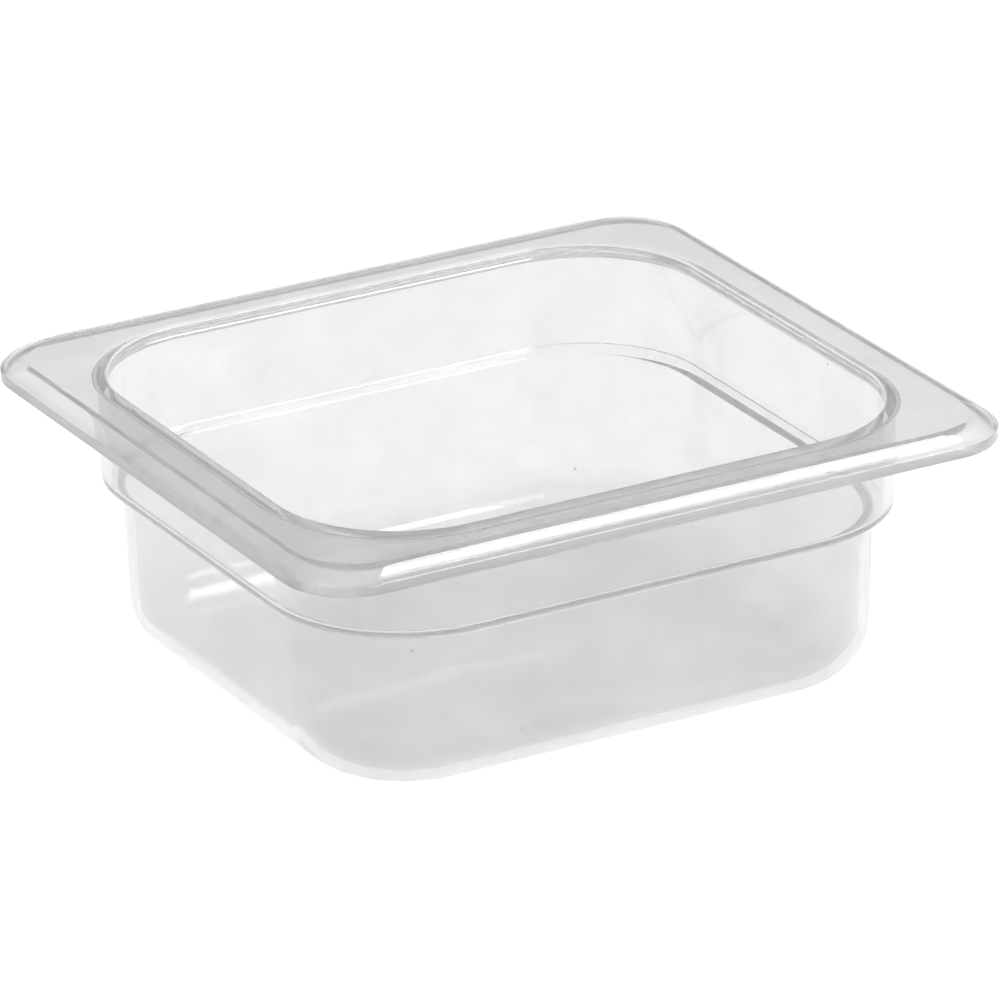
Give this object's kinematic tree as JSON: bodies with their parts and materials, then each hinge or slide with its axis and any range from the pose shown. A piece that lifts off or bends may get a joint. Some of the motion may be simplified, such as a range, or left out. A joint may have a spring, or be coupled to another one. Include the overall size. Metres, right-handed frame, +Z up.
{
  "type": "food pan",
  "caption": "Clear rectangular food pan with rounded corners, a flat flange with a turned-down lip and a stacking shoulder.",
  "frame": {"origin": "middle of the pan's underside, on the surface it stands on", "axes": "+X along the longer side, +Y along the shorter side, +Z up, out of the pan's mouth"},
  "size_m": [0.176, 0.162, 0.065],
  "materials": {
    "clear_polycarbonate": "polished"
  },
  "bodies": {
    "root": {"pan": "clear_polycarbonate"}
  },
  "joints": []
}
